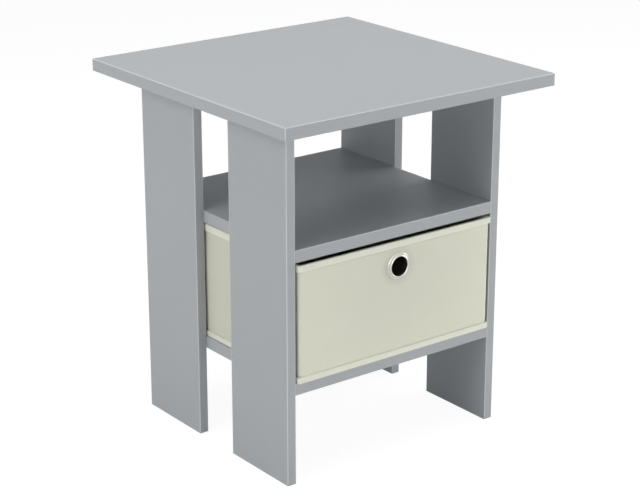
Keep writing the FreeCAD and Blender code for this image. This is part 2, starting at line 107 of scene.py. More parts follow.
class BinShape(PropertyGroup):
    """How the fabric bin is sewn."""

    corner_radius: distance("Corner radius", "Rounding of the bin's upright corners", 4 * MM)
    cloth_thickness: distance("Cloth", "Thickness of the skin and lining", 0.8 * MM)
    tape_thickness: distance("Tape", "Thickness of the folded binding tape", 1.5 * MM)
    crown: distance("Crown", "How far the cloth stands proud in the middle of a wall", 0.3 * MM)
    seam_depth: distance("Seam depth", "How far the stitching pulls the skin in", 0.6 * MM)
    droop: distance("Droop", "How far the lower binding hangs in front of the shelf", 0.9 * MM)
    side_lift: distance("Side lift", "How much higher the tape stands on the side walls", 1.7 * MM)
    stitch_pitch: distance("Stitch pitch", "From one stitch to the next", 3.4 * MM)
    cloth: colour("Cloth", "Colour of the woven skin and lining", 238, 238, 221)
    tape: colour("Tape", "Colour of the binding tape", 246, 247, 232)
    card: colour("Card", "Colour of the stiffening boards", 176, 156, 122)
    eyelet: colour("Eyelet", "Colour of the polished ring", 192, 192, 184)


class Studio(PropertyGroup):
    """The camera, lamps and floor."""

    azimuth: angle("Azimuth", "Where the camera stands round the table", -37.4214)
    elevation: angle("Elevation", "Height of the camera above the horizon", 19.3241)
    camera_place: FloatVectorProperty(
        name="Camera", description="Where the camera stands", subtype="TRANSLATION", unit="LENGTH",
        default=(-1.3063175, -1.7072044, 0.9752055),
    )
    lens: FloatProperty(
        name="Lens", description="Focal length of the camera", default=103.853, min=1, unit="CAMERA"
    )
    sky_level: FloatProperty(
        name="Sky level", description="Light that comes from all round", default=0.0, min=0, subtype="FACTOR"
    )
    floor: colour("Floor", "Colour of the floor", 240, 240, 240)
    floor_glow: FloatProperty(
        name="Floor glow", description="How white the unlit floor looks", default=0.93, min=0, max=1
    )
    floor_shadow: FloatProperty(
        name="Floor shadow", description="How strongly shadows show on the floor", default=0.16, min=0, max=1
    )


# Shader kit


class Value:
    """A number that varies over a surface. Arithmetic on it adds Math nodes."""

    def __init__(self, paint, socket):
        self.paint = paint
        self.socket = socket

    def math(self, operation, *others):
        node = self.paint.node(
            "ShaderNodeMath", {"operation": operation}, dict(enumerate((self, *others)))
        )
        return Value(self.paint, node.outputs[0])

    def __add__(self, other):
        return self.math("ADD", other)

    def __sub__(self, other):
        return self.math("SUBTRACT", other)

    def __rsub__(self, other):
        return self * -1 + other

    def __mul__(self, other):
        return self.math("MULTIPLY", other)

    def __truediv__(self, other):
        return self.math("DIVIDE", other)

    def __abs__(self):
        return self.math("ABSOLUTE")

    __radd__ = __add__
    __rmul__ = __mul__

    def least(self, other):
        return self.math("MINIMUM", other)

    def most(self, other):
        return self.math("MAXIMUM", other)

    def rise(self, low, high):
        """0 at low, 1 at high, and smooth between them."""
        node = self.paint.node(
            "ShaderNodeMapRange",
            {"interpolation_type": "SMOOTHSTEP"},
            {"Value": self, "From Min": low, "From Max": high},
        )
        return Value(self.paint, node.outputs["Result"])


class Graph:
    """A node tree, and the one place where its nodes are made."""

    def __init__(self, tree):
        self.tree = tree

    def node(self, kind, settings=None, inputs=None):
        made = self.tree.nodes.new(kind)
        for key, value in (settings or {}).items():
            setattr(made, key, value)
        for key, value in (inputs or {}).items():
            socket = made.inputs[key]
            if isinstance(value, Value):
                value = value.socket
            if isinstance(value, bpy.types.NodeSocket):
                self.tree.links.new(value, socket)
            elif socket.type == "RGBA":
                socket.default_value = (*value, 1)
            else:
                socket.default_value = value
        return made

    def show(self, seen, lighting, output):
        """One shader for what is seen straight or by way of metal and glass, another for the light."""
        path = self.node("ShaderNodeLightPath")
        camera, glossy, clear = [
            Value(self, path.outputs[f"Is {ray} Ray"]) for ray in ("Camera", "Glossy", "Transmission")
        ]
        shaders = {0: camera.most(glossy).most(clear), 1: lighting.outputs[0], 2: seen.outputs[0]}
        mix = self.node("ShaderNodeMixShader", inputs=shaders)
        self.tree.links.new(mix.outputs[0], self.tree.nodes[output].inputs["Surface"])


class Paint(Graph):
    """A procedural material."""

    def __init__(self, name, **constants):
        self.material = bpy.data.materials.new(name)
        self.material.use_nodes = True
        super().__init__(self.material.node_tree)
        self.shader = self.tree.nodes["Principled BSDF"]
        for socket, value in constants.items():
            self.shader.inputs[socket.replace("_", " ")].default_value = value

    def coordinates(self, kind="Object"):
        return self.node("ShaderNodeTexCoord").outputs[kind]

    def parts(self, vector):
        node = self.node("ShaderNodeSeparateXYZ", inputs={0: vector})
        return [Value(self, socket) for socket in node.outputs]

    def stretched(self, vector, scale):
        node = self.node("ShaderNodeVectorMath", {"operation": "MULTIPLY"}, {0: vector, 1: scale})
        return node.outputs[0]

    def noise(self, vector, scale, detail=2.0, roughness=0.5):
        node = self.node(
            "ShaderNodeTexNoise",
            inputs={"Vector": vector, "Scale": scale, "Detail": detail, "Roughness": roughness},
        )
        return Value(self, node.outputs["Fac"])

    def wave(self, value, pitch):
        """A ridge that repeats every pitch, from -1 to 1."""
        return (value * (math.tau / pitch)).math("SINE")

    def far_from(self, spot):
        """Distance from a point of the piece."""
        node = self.node(
            "ShaderNodeVectorMath", {"operation": "DISTANCE"}, {0: self.coordinates(), 1: spot}
        )
        return Value(self, node.outputs["Value"])

    def between(self, factor, one, other):
        """A colour that goes from one to the other as the factor goes from 0 to 1."""
        node = self.node(
            "ShaderNodeMix",
            {"data_type": "RGBA", "clamp_factor": True},
            {"Factor": factor, 6: one, 7: other},
        )
        return node.outputs[2]

    def finish(self, colour=None, roughness=None, height=None, depth=0.0):
        """Links what varies to the shader. height, from 0 to 1, stands for depth metres."""
        links = self.tree.links
        if colour is not None:
            links.new(colour, self.shader.inputs["Base Color"])
        if roughness is not None:
            links.new(roughness.socket, self.shader.inputs["Roughness"])
        if height is not None:
            bump = self.node(
                "ShaderNodeBump", inputs={"Height": height, "Strength": 1.0, "Distance": depth}
            )
            links.new(bump.outputs[0], self.shader.inputs["Normal"])
        return self.material


def tinted(base, factor):
    return tuple(min(1.0, channel * factor) for channel in base)


def laminate_paint(name, low, high, finish):
    """Satin laminate, with the hairline where the edge band meets the face and a painted highlight along the
    arrises.
    """
    base = tuple(finish.laminate)
    paint = Paint(f"laminate_{name}", Specular_IOR_Level=0.2)
    where = paint.coordinates()
    x, y, z = paint.parts(where)
    a, b, c = [
        (value - start).least(end - value) for value, start, end in zip((x, y, z), low, high)
    ]
    inward = a.least(b).most(a.most(b).least(c))
    # Painted highlight: the arrises are painted paler where light would catch them, except along a board's
    # bottom edges, which the light from above misses.
    arris_highlight = (1 - inward.rise(0.45 * MM, 1.2 * MM)) * (z - low.z).rise(1 * MM, 2.5 * MM)
    hairline = 1 - abs(inward - finish.edge_band * 1.3).rise(0.02 * MM, 0.12 * MM)
    speckle = paint.noise(where, 900, 3)
    cloudy = paint.noise(where, 14, 2)
    tone = paint.between(speckle * 0.6 + cloudy * 0.4, tinted(base, 0.965), tinted(base, 1.035))
    tone = paint.between(hairline * 0.35, tone, tinted(base, 0.72))
    tone = paint.between(arris_highlight * 0.85, tone, tinted(base, 1.6))
    gloss = paint.noise(where, 40, 3) * 0.1 + 0.47 - arris_highlight * 0.08
    return paint.finish(tone, gloss, paint.noise(where, 1400, 2), 0.012 * MM)


def zinc_paint(finish):
    paint = Paint("zinc_plate", Metallic=1.0)
    where = paint.coordinates()
    mottle = paint.noise(where, 260, 4)
    base = tuple(finish.zinc)
    tone = paint.between(mottle, tinted(base, 0.82), tinted(base, 1.08))
    return paint.finish(tone, mottle * 0.25 + 0.32, paint.noise(where, 1500, 2), 0.02 * MM)


def beech_paint(finish):
    """Bare beech, whose grain runs along X in the cross dowels."""
    paint = Paint("bare_beech", Specular_IOR_Level=0.3)
    where = paint.stretched(paint.coordinates(), (90, 900, 900))
    grain = paint.noise(where, 1, 4)
    fleck = paint.noise(paint.stretched(paint.coordinates(), (400, 2600, 2600)), 1, 2)
    base = tuple(finish.beech)
    tone = paint.between(grain, tinted(base, 0.74), tinted(base, 1.1))
    tone = paint.between(fleck.rise(0.62, 0.72) * 0.5, tone, tinted(base, 0.55))
    return paint.finish(tone, grain * 0.2 + 0.6, grain, 0.05 * MM)


def card_paint(shape):
    """Grey-brown card made of short pressed fibres."""
    paint = Paint("pressed_card", Specular_IOR_Level=0.15)
    where = paint.coordinates()
    fibre = paint.noise(paint.stretched(where, (500, 500, 1600)), 1, 5, 0.7)
    base = tuple(shape.card)
    tone = paint.between(fibre, tinted(base, 0.78), tinted(base, 1.15))
    return paint.finish(tone, fibre * 0.1 + 0.82, fibre, 0.08 * MM)


def weave_paint(name, base, thread, depth, shade_depth):
    """Plain weave that follows the piece's own UV map, with uneven warp threads."""
    paint = Paint(name, Specular_IOR_Level=0.25, Sheen_Weight=0.12, Sheen_Roughness=0.5)
    cloth = paint.coordinates("UV")
    across, along, _ = paint.parts(cloth)
    slub = paint.noise(paint.stretched(cloth, (420, 9, 1)), 1, 3)
    weft = paint.noise(paint.stretched(cloth, (12, 380, 1)), 1, 3)
    warp_wave = paint.wave(across, thread)
    weft_wave = paint.wave(along, thread)
    over = warp_wave * weft_wave
    height = over * 0.32 + abs(warp_wave) * 0.09 + abs(weft_wave) * 0.09 + 0.41
    fuzz = paint.noise(cloth, 2600, 2)
    patch = paint.noise(paint.coordinates(), 22, 2)
    thickness = slub * 0.5 + weft * 0.25 + patch * 0.25
    tone = paint.between(thickness, tinted(base, 0.94), tinted(base, 1.06))
    tone = paint.between((1 - height) * shade_depth, tone, tinted(base, 0.7))
    # Painted shade: the side walls, from just behind the front corners back, are painted darker, as the
    # recess between the legs shades them.
    side, ahead, _ = paint.parts(paint.coordinates())
    flank_shade = abs(side - FLANK_MIDDLE).rise(FLANK_REACH - 3 * MM, FLANK_REACH - 1.5 * MM)
    flank_shade = flank_shade * (ahead - SKIN_LOW.y).rise(0.6 * MM, 2.2 * MM)
    tone = paint.between(flank_shade, tone, tinted(base, 0.83))
    # Painted shade round the finger hole: a dark halo close round the eyelet, where it stands proud, and a
    # broad darkening that fades out over the front wall.
    away = paint.far_from(HOLE)
    ring_shade = (1 - away.rise(17 * MM, 28 * MM)) * 0.3 + (1 - away.rise(16 * MM, 170 * MM)) * 0.22
    tone = paint.between(ring_shade, tone, tinted(base, 0.66))
    return paint.finish(tone, fuzz * 0.12 + 0.8, height * 0.8 + fuzz * 0.2, depth)


def tape_paint(base):
    """Ribbed binding tape, with its ribs across the tape."""
    paint = Paint("binding_tape", Specular_IOR_Level=0.25, Sheen_Weight=0.1, Sheen_Roughness=0.5)
    cloth = paint.coordinates("UV")
    along, across, _ = paint.parts(cloth)
    rib = paint.wave(along, 0.62 * MM) * 0.5 + 0.5
    yarn = paint.wave(across, 0.42 * MM) * 0.5 + 0.5
    uneven = paint.noise(paint.stretched(cloth, (300, 60, 1)), 1, 3)
    tone = paint.between(uneven, tinted(base, 0.965), tinted(base, 1.03))
    # The hollows between the ribs are painted darker, as painted shade.
    tone = paint.between((1 - rib) * 0.22, tone, tinted(base, 0.72))
    return paint.finish(tone, uneven * 0.1 + 0.78, rib * 0.7 + yarn * 0.3, 0.06 * MM)


def thread_paint(base):
    paint = Paint("sewing_thread", Specular_IOR_Level=0.4, Sheen_Weight=0.1)
    where = paint.coordinates()
    twist = paint.noise(paint.stretched(where, (2400, 2400, 5200)), 1, 2)
    return paint.finish(
        paint.between(twist, tinted(base, 0.86), tinted(base, 1.03)), twist * 0.15 + 0.55, twist, 0.02 * MM
    )


def eyelet_paint(name, shape, shine):
    """Polished plate with faint rubbing marks."""
    paint = Paint(name, Metallic=1.0)
    where = paint.coordinates()
    rub = paint.noise(paint.stretched(where, (900, 900, 240)), 1, 4)
    base = tuple(shape.eyelet)
    tone = paint.between(rub, tinted(base, 0.93), tinted(base, 1.03))
    return paint.finish(tone, rub * 0.1 + shine, rub, 0.006 * MM)


def coat(piece, material):
    """Gives every slot of a piece the same material."""
    if not piece.material_slots:
        piece.data.materials.append(material)
    for holder in piece.material_slots:
        holder.material = material


# Modelling kit


def take(piece):
    bpy.ops.object.select_all(action="DESELECT")
    piece.select_set(True)
    bpy.context.view_layer.objects.active = piece
    return piece


@contextmanager
def editing(piece):
    take(piece)
    bpy.ops.object.mode_set(mode="EDIT")
    yield
    bpy.ops.object.mode_set(mode="OBJECT")


def add_block(name, low, high):
    """A cube primitive at a box's place and size."""
    low, high = Vector(low), Vector(high)
    bpy.ops.object.select_all(action="DESELECT")
    bpy.ops.mesh.primitive_cube_add(size=1, location=(low + high) / 2, scale=high - low)
    bpy.ops.object.transform_apply(location=True, rotation=True, scale=True)
    piece = bpy.context.object
    piece.name = piece.data.name = name
    return piece


def pick(piece, kind, wanted):
    """Selects the faces or edges that wanted() is true for."""
    bpy.ops.mesh.select_all(action="DESELECT")
    bpy.ops.mesh.select_mode(type=kind)
    shell = bmesh.from_edit_mesh(piece.data)
    shell.normal_update()
    for part in list(shell.faces if kind == "FACE" else shell.edges):
        if wanted(part):
            part.select_set(True)
    shell.select_flush_mode()
    bmesh.update_edit_mesh(piece.data)


def drop_faces(piece, wanted):
    pick(piece, "FACE", wanted)
    bpy.ops.mesh.delete(type="FACE")


def upright(edge):
    run = edge.verts[1].co - edge.verts[0].co
    return abs(run.z) > 0.99 * run.length


def level_at(height):
    """Picks edges that lie at a height."""
    return lambda edge: all(abs(corner.co.z - height) < 0.01 * MM for corner in edge.verts)


def folds(edge):
    """Picks edges between an upright face and a level one."""
    faces = edge.link_faces
    return len(faces) == 2 and abs(abs(faces[0].normal.z) - abs(faces[1].normal.z)) > 0.7


def cut_across(axis, places):
    """Cuts the piece being edited across an axis at each place."""
    normal = Vector((axis == "x", axis == "y", axis == "z"))
    for place in places:
        bpy.ops.mesh.select_all(action="SELECT")
        bpy.ops.mesh.bisect(plane_co=normal * place, plane_no=normal)


def spread(start, end, pitch):
    """Evenly spaced places between two ends, about a pitch apart."""
    count = max(1, round((end - start) / pitch))
    return [start + (end - start) * step / count for step in range(1, count)]


def apply_modifier(piece, kind, **settings):
    take(piece)
    bpy.ops.object.modifier_add(type=kind)
    modifier = piece.modifiers[-1]
    for key, value in settings.items():
        setattr(modifier, key, value)
    bpy.ops.object.modifier_apply(modifier=modifier.name)


def ease(piece, shift):
    """Moves each point along its own normal by what shift(place, normal) gives."""
    moved = [point.co + point.normal * shift(point.co, point.normal) for point in piece.data.vertices]
    for point, place in zip(piece.data.vertices, moved):
        point.co = place


def smooth(piece, degrees=40):
    take(piece)
    bpy.ops.object.shade_smooth_by_angle(angle=math.radians(degrees))


def hump(value, centre, width):
    """1 at the centre, falling to nothing about two widths away."""
    return math.exp(-(((value - centre) / width) ** 2))


def ramp(value, start, end):
    share = min(1.0, max(0.0, (value - start) / (end - start)))
    return share * share * (3 - 2 * share)


def ripple(place, size, seed):
    """A slow unevenness from -1 to 1 whose humps are about size across."""
    return noise.noise(place / size + Vector((seed, 2 * seed, 3 * seed)))


def lay_cloth(piece, run_along=False):
    """Gives a piece a UV map in metres that follows the cloth on each wall."""
    low, high = (Vector(corner) for corner in (piece.bound_box[0], piece.bound_box[6]))
    middle = (low + high) / 2
    chart = piece.data.uv_layers.new(name="cloth")
    for face in piece.data.polygons:
        centre, normal = face.center, face.normal
        if abs(normal.z) > 0.7 and run_along:
            sideways = abs(centre.x - middle.x) > abs(centre.y - middle.y)
            plan = (1, 0) if sideways else (0, 1)
        elif abs(normal.z) > 0.7:
            plan = (0, 1)
        else:
            plan = (1, 2) if abs(normal.x) > abs(normal.y) else (0, 2)
        for corner in face.loop_indices:
            place = piece.data.vertices[piece.data.loops[corner].vertex_index].co
            chart.data[corner].uv = (place[plan[0]], place[plan[1]])


def punch(piece, radius):
    """Cuts the finger hole through a piece."""
    bpy.ops.object.select_all(action="DESELECT")
    bpy.ops.mesh.primitive_cylinder_add(
        vertices=64, radius=radius, depth=40 * MM, location=HOLE, rotation=(math.pi / 2, 0, 0)
    )
    cutter = bpy.context.object
    bpy.ops.object.transform_apply(location=True, rotation=True, scale=True)
    apply_modifier(piece, "BOOLEAN", object=cutter, operation="DIFFERENCE", solver="EXACT")
    bpy.data.objects.remove(cutter)


def from_hole(place):
    """Distance from the middle of the finger hole, for places in the front wall."""
    return math.hypot(place.x - HOLE.x, place.z - HOLE.z) if place.y < HOLE.y + 8 * MM else 1.0


def open_tub(name, node, corner, floor_corner, pitch, bands):
    """An open box with rounded corners, cut finely enough to take a soft shape."""
    low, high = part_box(node)
    tub = add_block(name, low, high)
    with editing(tub):
        drop_faces(tub, lambda face: face.normal.z > 0.9)
        pick(tub, "EDGE", upright)
        bpy.ops.mesh.bevel(offset=corner, segments=5, affect="EDGES")
        pick(tub, "EDGE", level_at(low.z))
        bpy.ops.mesh.bevel(offset=floor_corner, segments=3, affect="EDGES")
        cut_across("x", spread(low.x, high.x, pitch))
        cut_across("y", spread(low.y, high.y, pitch))
        cut_across("z", bands)
    return tub


def sheet_piece(piece, body, node):
    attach(piece, body)
    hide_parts(node)


# The operators


class TABLE_OT_boards(Operator):
    """Finish the seven laminated boards"""

    bl_idname = "side_table.boards"
    bl_label = "Boards"

    past = 20 * MM

    def execute(self, context):
        finish = context.scene.board_finish
        names = ["top_panel", "bottom_shelf", "middle_shelf"]
        names += [f"{end}_{side}_leg" for end in ("front", "rear") for side in ("left", "right")]
        for name in names:
            low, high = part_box(name)
            # Edges that are glued against another board are left out of the painted arris highlight
            if name.endswith("leg"):
                high.z += self.past
            elif name.endswith("shelf"):
                low.x, high.x = low.x - self.past, high.x + self.past
            coat(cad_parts[name], laminate_paint(name, low, high, finish))
        return {"FINISHED"}


class TABLE_OT_fittings(Operator):
    """Finish the cams, cam bolts and dowels"""

    bl_idname = "side_table.fittings"
    bl_label = "Fittings"

    def execute(self, context):
        finish = context.scene.board_finish
        zinc, beech = zinc_paint(finish), beech_paint(finish)
        for board in ("bottom_shelf", "middle_shelf", "top"):
            coat(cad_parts[f"{board}_cams"], zinc)
            coat(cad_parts[f"{board}_cam_bolts"], zinc)
            coat(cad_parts[f"{board}_dowels"], beech)
        return {"FINISHED"}


class TABLE_OT_stiffeners(Operator):
    """Finish the card boards inside the bin's walls"""

    bl_idname = "side_table.stiffeners"
    bl_label = "Stiffeners"

    def execute(self, context):
        card = card_paint(context.scene.bin_shape)
        for side in ("front", "back", "left", "right"):
            coat(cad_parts[f"{side}_stiffener"], card)
        return {"FINISHED"}


class TABLE_OT_skin(Operator):
    """Sew the bin's outer skin"""

    bl_idname = "side_table.skin"
    bl_label = "Outer skin"

    def execute(self, context):
        shape = context.scene.bin_shape
        low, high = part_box("outer_skin")
        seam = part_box("bottom_binding")[1].z + 0.9 * MM
        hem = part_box("top_binding")[0].z - 0.6 * MM
        near_seams = [seam + step * MM for step in (-1.6, -0.9, -0.45, 0, 0.45, 0.9, 1.6, 3, 5)]
        near_seams += [hem + step * MM for step in (-4, -2, -1, -0.4, 0, 0.6, 2)]
        bands = sorted(near_seams + spread(seam + 5 * MM, hem - 4 * MM, 9 * MM))
        skin = open_tub("outer_skin_cloth", "outer_skin", shape.corner_radius, 1.5 * MM, 9 * MM, bands)

        def pull(place, normal):
            if abs(normal.z) > 0.4:
                return 0
            height = (place.z - seam) / (hem - seam)
            belly = max(0, 4 * height * (1 - height)) ** 0.7
            reach = min(place.x - low.x, high.x - place.x) if abs(normal.y) > abs(normal.x) else (
                min(place.y - low.y, high.y - place.y))
            free = ramp(reach, 0, 45 * MM) * ramp(from_hole(place), 19 * MM, 40 * MM)
            uneven = ripple(place, 60 * MM, 3) * 0.16 * MM + ripple(place, 22 * MM, 5) * 0.05 * MM
            seams = hump(place.z, seam, 0.85 * MM) + 0.9 * hump(place.z, hem, 0.9 * MM)
            tuck = 0.5 * MM * hump(from_hole(place), 17 * MM, 1.8 * MM)
            return (shape.crown + uneven) * belly * free - shape.seam_depth * seams - tuck

        ease(skin, pull)
        apply_modifier(skin, "SOLIDIFY", thickness=shape.cloth_thickness, offset=-1, use_even_offset=True)
        punch(skin, 13.4 * MM)
        smooth(skin)
        lay_cloth(skin)
        coat(skin, weave_paint("skin_weave", tuple(shape.cloth), 0.55 * MM, 0.05 * MM, 0.25))
        sheet_piece(skin, "bin", "outer_skin")
        return {"FINISHED"}


class TABLE_OT_lining(Operator):
    """Sew the bin's lining"""

    bl_idname = "side_table.lining"
    bl_label = "Lining"

    def execute(self, context):
        shape = context.scene.bin_shape
        low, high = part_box("inner_lining")
        bands = spread(low.z, high.z, 10 * MM)
        lining = open_tub("inner_lining_cloth", "inner_lining", 1.6 * MM, 1.2 * MM, 10 * MM, bands)

        def slack(place, normal):
            if abs(normal.z) > 0.4:
                return 0
            height = (place.z - low.z) / (high.z - low.z)
            belly = max(0, 4 * height * (1 - height)) ** 0.7
            uneven = 0.5 + 0.5 * ripple(place, 38 * MM, 11)
            return -0.7 * MM * uneven * belly * ramp(from_hole(place), 19 * MM, 40 * MM)

        ease(lining, slack)
        apply_modifier(lining, "SOLIDIFY", thickness=shape.cloth_thickness, offset=-1, use_even_offset=True)
        punch(lining, 13.4 * MM)
        smooth(lining)
        lay_cloth(lining)
        coat(lining, weave_paint("lining_weave", tinted(shape.cloth, 0.96), 0.5 * MM, 0.04 * MM, 0.2))
        sheet_piece(lining, "bin", "inner_lining")
        return {"FINISHED"}


def tape_ring(name, node, shape, reach, turned_down):
    """A tape that runs round the bin: its outer leaf, then the fold over the rim or under the base."""
    low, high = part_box(node)
    centre = (low + high) / 2
    fold = high.z if turned_down else low.z
    ring = add_block(name, low, high)
    with editing(ring):
        drop_faces(ring, lambda face: abs(face.normal.z) > 0.9)
        pick(ring, "EDGE", upright)
        bpy.ops.mesh.bevel(offset=shape.corner_radius - 1 * MM, segments=6, affect="EDGES")
        pick(ring, "EDGE", level_at(fold))
        bpy.ops.mesh.extrude_region_move()
        share = 1 - 2 * reach / (high.x - low.x)
        bpy.ops.transform.resize(value=(share, share, 1), center_override=centre)
        if turned_down:
            bpy.ops.mesh.extrude_region_move(TRANSFORM_OT_translate={"value": (0, 0, low.z - high.z)})
        pick(ring, "EDGE", folds)
        bpy.ops.mesh.bevel(offset=1.0 * MM, segments=3, affect="EDGES")
        cut_across("x", spread(low.x, high.x, 9 * MM))
        cut_across("y", spread(low.y, high.y, 9 * MM))
        cut_across("z", spread(low.z, high.z, 1.1 * MM))
        bpy.ops.mesh.select_all(action="SELECT")
        bpy.ops.mesh.normals_make_consistent(inside=False)
    return ring


def finish_tape(ring, shape, node):
    apply_modifier(ring, "SOLIDIFY", thickness=shape.tape_thickness, offset=-1, use_even_offset=True)
    apply_modifier(
        ring, "BEVEL", width=0.55 * MM, segments=3, limit_method="ANGLE", angle_limit=math.radians(55)
    )
    smooth(ring, 50)
    lay_cloth(ring, run_along=True)
    coat(ring, tape_paint(tuple(shape.tape)))
    sheet_piece(ring, "bin", node)


class TABLE_OT_bindings(Operator):
    """Sew the tapes round the bin's rim and base"""

    bl_idname = "side_table.bindings"
    bl_label = "Bindings"

    def execute(self, context):
        shape = context.scene.bin_shape
        shelf_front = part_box("bottom_shelf")[0].y

        low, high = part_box("top_binding")
        rim = tape_ring("top_binding_tape", "top_binding", shape, 7.2 * MM, True)

        def puff(place, normal):
            if abs(normal.z) > 0.6:
                return ripple(place, 30 * MM, 17) * 0.12 * MM
            round_fold = 0.3 * MM * ramp(place.z, low.z, low.z + 2 * MM)
            loose = ripple(place, 25 * MM, 19) * 0.12 * MM
            front = ramp(-place.y, -low.y - 3 * MM, -low.y)
            side = max(abs(place.x - low.x), 0) < 3 * MM and place.y < low.y + 2.4 * MM
            return round_fold - 0.3 * MM + loose + (0.9 * MM * front if side else 0)

        ease(rim, puff)
        for point in rim.data.vertices:
            place = point.co
            inside = min(place.x - low.x, high.x - place.x, place.y - low.y, high.y - place.y)
            place.z -= 1.4 * MM * ramp(inside, 1.4 * MM, 6.5 * MM)
            sideways = ramp(abs(place.x), high.x - 9 * MM, high.x - 7 * MM)
            behind = ramp(place.y, low.y + 15 * MM, low.y + 60 * MM)
            above = ramp(place.z, low.z + 3 * MM, high.z - 1 * MM)
            place.z += shape.side_lift * sideways * behind * above
        finish_tape(rim, shape, "top_binding")

        low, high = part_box("bottom_binding")
        base = tape_ring("bottom_binding_tape", "bottom_binding", shape, 8 * MM, False)

        def hang(place, normal):
            if abs(normal.z) > 0.6:
                return 0
            return ripple(place, 25 * MM, 23) * 0.12 * MM

        ease(base, hang)
        for point in base.data.vertices:
            ahead = ramp(shelf_front - point.co.y, 0.3 * MM, 1.9 * MM)
            point.co.z -= shape.droop * ahead * (1 - ramp(point.co.z, low.z + 1 * MM, high.z - 1 * MM))
        finish_tape(base, shape, "bottom_binding")
        return {"FINISHED"}


class TABLE_OT_stitches(Operator):
    """Run a line of stitches along each binding"""

    bl_idname = "side_table.stitches"
    bl_label = "Stitches"

    def execute(self, context):
        shape = context.scene.bin_shape
        thread = thread_paint(tuple(shape.tape))
        for node, rise in (("top_binding", 1.9 * MM), ("bottom_binding", None)):
            low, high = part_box(node)
            height = low.z + rise if rise else high.z - 1.7 * MM
            pattern = self.one_stitch(shape)
            places = self.line(low, high, height, shape)
            copies = []
            for place, turn in places:
                copy = pattern.copy()
                copy.data = pattern.data.copy()
                context.scene.collection.objects.link(copy)
                copy.location = place
                copy.rotation_euler = (0, 0, turn)
                copies.append(copy)
            bpy.data.objects.remove(pattern)
            bpy.ops.object.select_all(action="DESELECT")
            for copy in copies:
                copy.select_set(True)
            context.view_layer.objects.active = copies[0]
            bpy.ops.object.transform_apply(location=True, rotation=True, scale=True)
            bpy.ops.object.join()
            row = context.object
            row.name = row.data.name = f"{node}_stitches"
            bpy.ops.object.transform_apply(location=True, rotation=True, scale=True)
            smooth(row, 60)
            coat(row, thread)
            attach(row, "bin")
        return {"FINISHED"}

    @staticmethod
    def one_stitch(shape):
        """One stitch along X that dips into the tape at both ends."""
        bpy.ops.object.select_all(action="DESELECT")
        bpy.ops.mesh.primitive_cylinder_add(
            vertices=6, radius=0.2 * MM, depth=shape.stitch_pitch * 0.8, rotation=(0, math.pi / 2, 0)
        )
        bpy.ops.object.transform_apply(location=True, rotation=True, scale=True)
        stitch = bpy.context.object
        half = shape.stitch_pitch * 0.4
        with editing(stitch):
            cut_across("x", [-0.6 * half, 0, 0.6 * half])
        for point in stitch.data.vertices:
            point.co.y += 0.3 * MM * (abs(point.co.x) / half) ** 2
        return stitch

    @staticmethod
    def line(low, high, height, shape):
        """Places and turns of the stitches along the four walls."""
        clear = shape.corner_radius + 5 * MM
        walls = [
            (Vector((1, 0, 0)), Vector((0, -1, 0)), 0.0, low.x, high.x, -low.y),
            (Vector((1, 0, 0)), Vector((0, 1, 0)), math.pi, low.x, high.x, high.y),
            (Vector((0, 1, 0)), Vector((-1, 0, 0)), -math.pi / 2, low.y, high.y, -low.x),
            (Vector((0, 1, 0)), Vector((1, 0, 0)), math.pi / 2, low.y, high.y, high.x),
        ]
        for run, outward, turn, start, end, face in walls:
            for step in spread(start + clear, end - clear, shape.stitch_pitch):
                yield run * step + outward * (face - 0.08 * MM) + UP * height, turn


class TABLE_OT_base(Operator):
    """Make the cloth-covered board that lies in the bin"""

    bl_idname = "side_table.base"
    bl_label = "Base board"

    def execute(self, context):
        shape = context.scene.bin_shape
        low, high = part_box("base_board")
        base = add_block("base_board_covered", low, high)
        with editing(base):
            pick(base, "EDGE", upright)
            bpy.ops.mesh.bevel(offset=2.5 * MM, segments=4, affect="EDGES")
            pick(base, "EDGE", folds)
            bpy.ops.mesh.bevel(offset=1.1 * MM, segments=3, affect="EDGES")
            cut_across("x", spread(low.x, high.x, 12 * MM))
            cut_across("y", spread(low.y, high.y, 12 * MM))

        def settle(place, normal):
            edge = min(place.x - low.x, high.x - place.x, place.y - low.y, high.y - place.y)
            top = normal.z > 0.5
            return (ripple(place, 45 * MM, 29) * 0.15 * MM * ramp(edge, 0, 20 * MM)) if top else 0

        ease(base, settle)
        smooth(base)
        lay_cloth(base)
        coat(base, weave_paint("base_weave", tinted(shape.cloth, 0.96), 0.5 * MM, 0.04 * MM, 0.2))
        sheet_piece(base, "bin", "base_board")
        return {"FINISHED"}


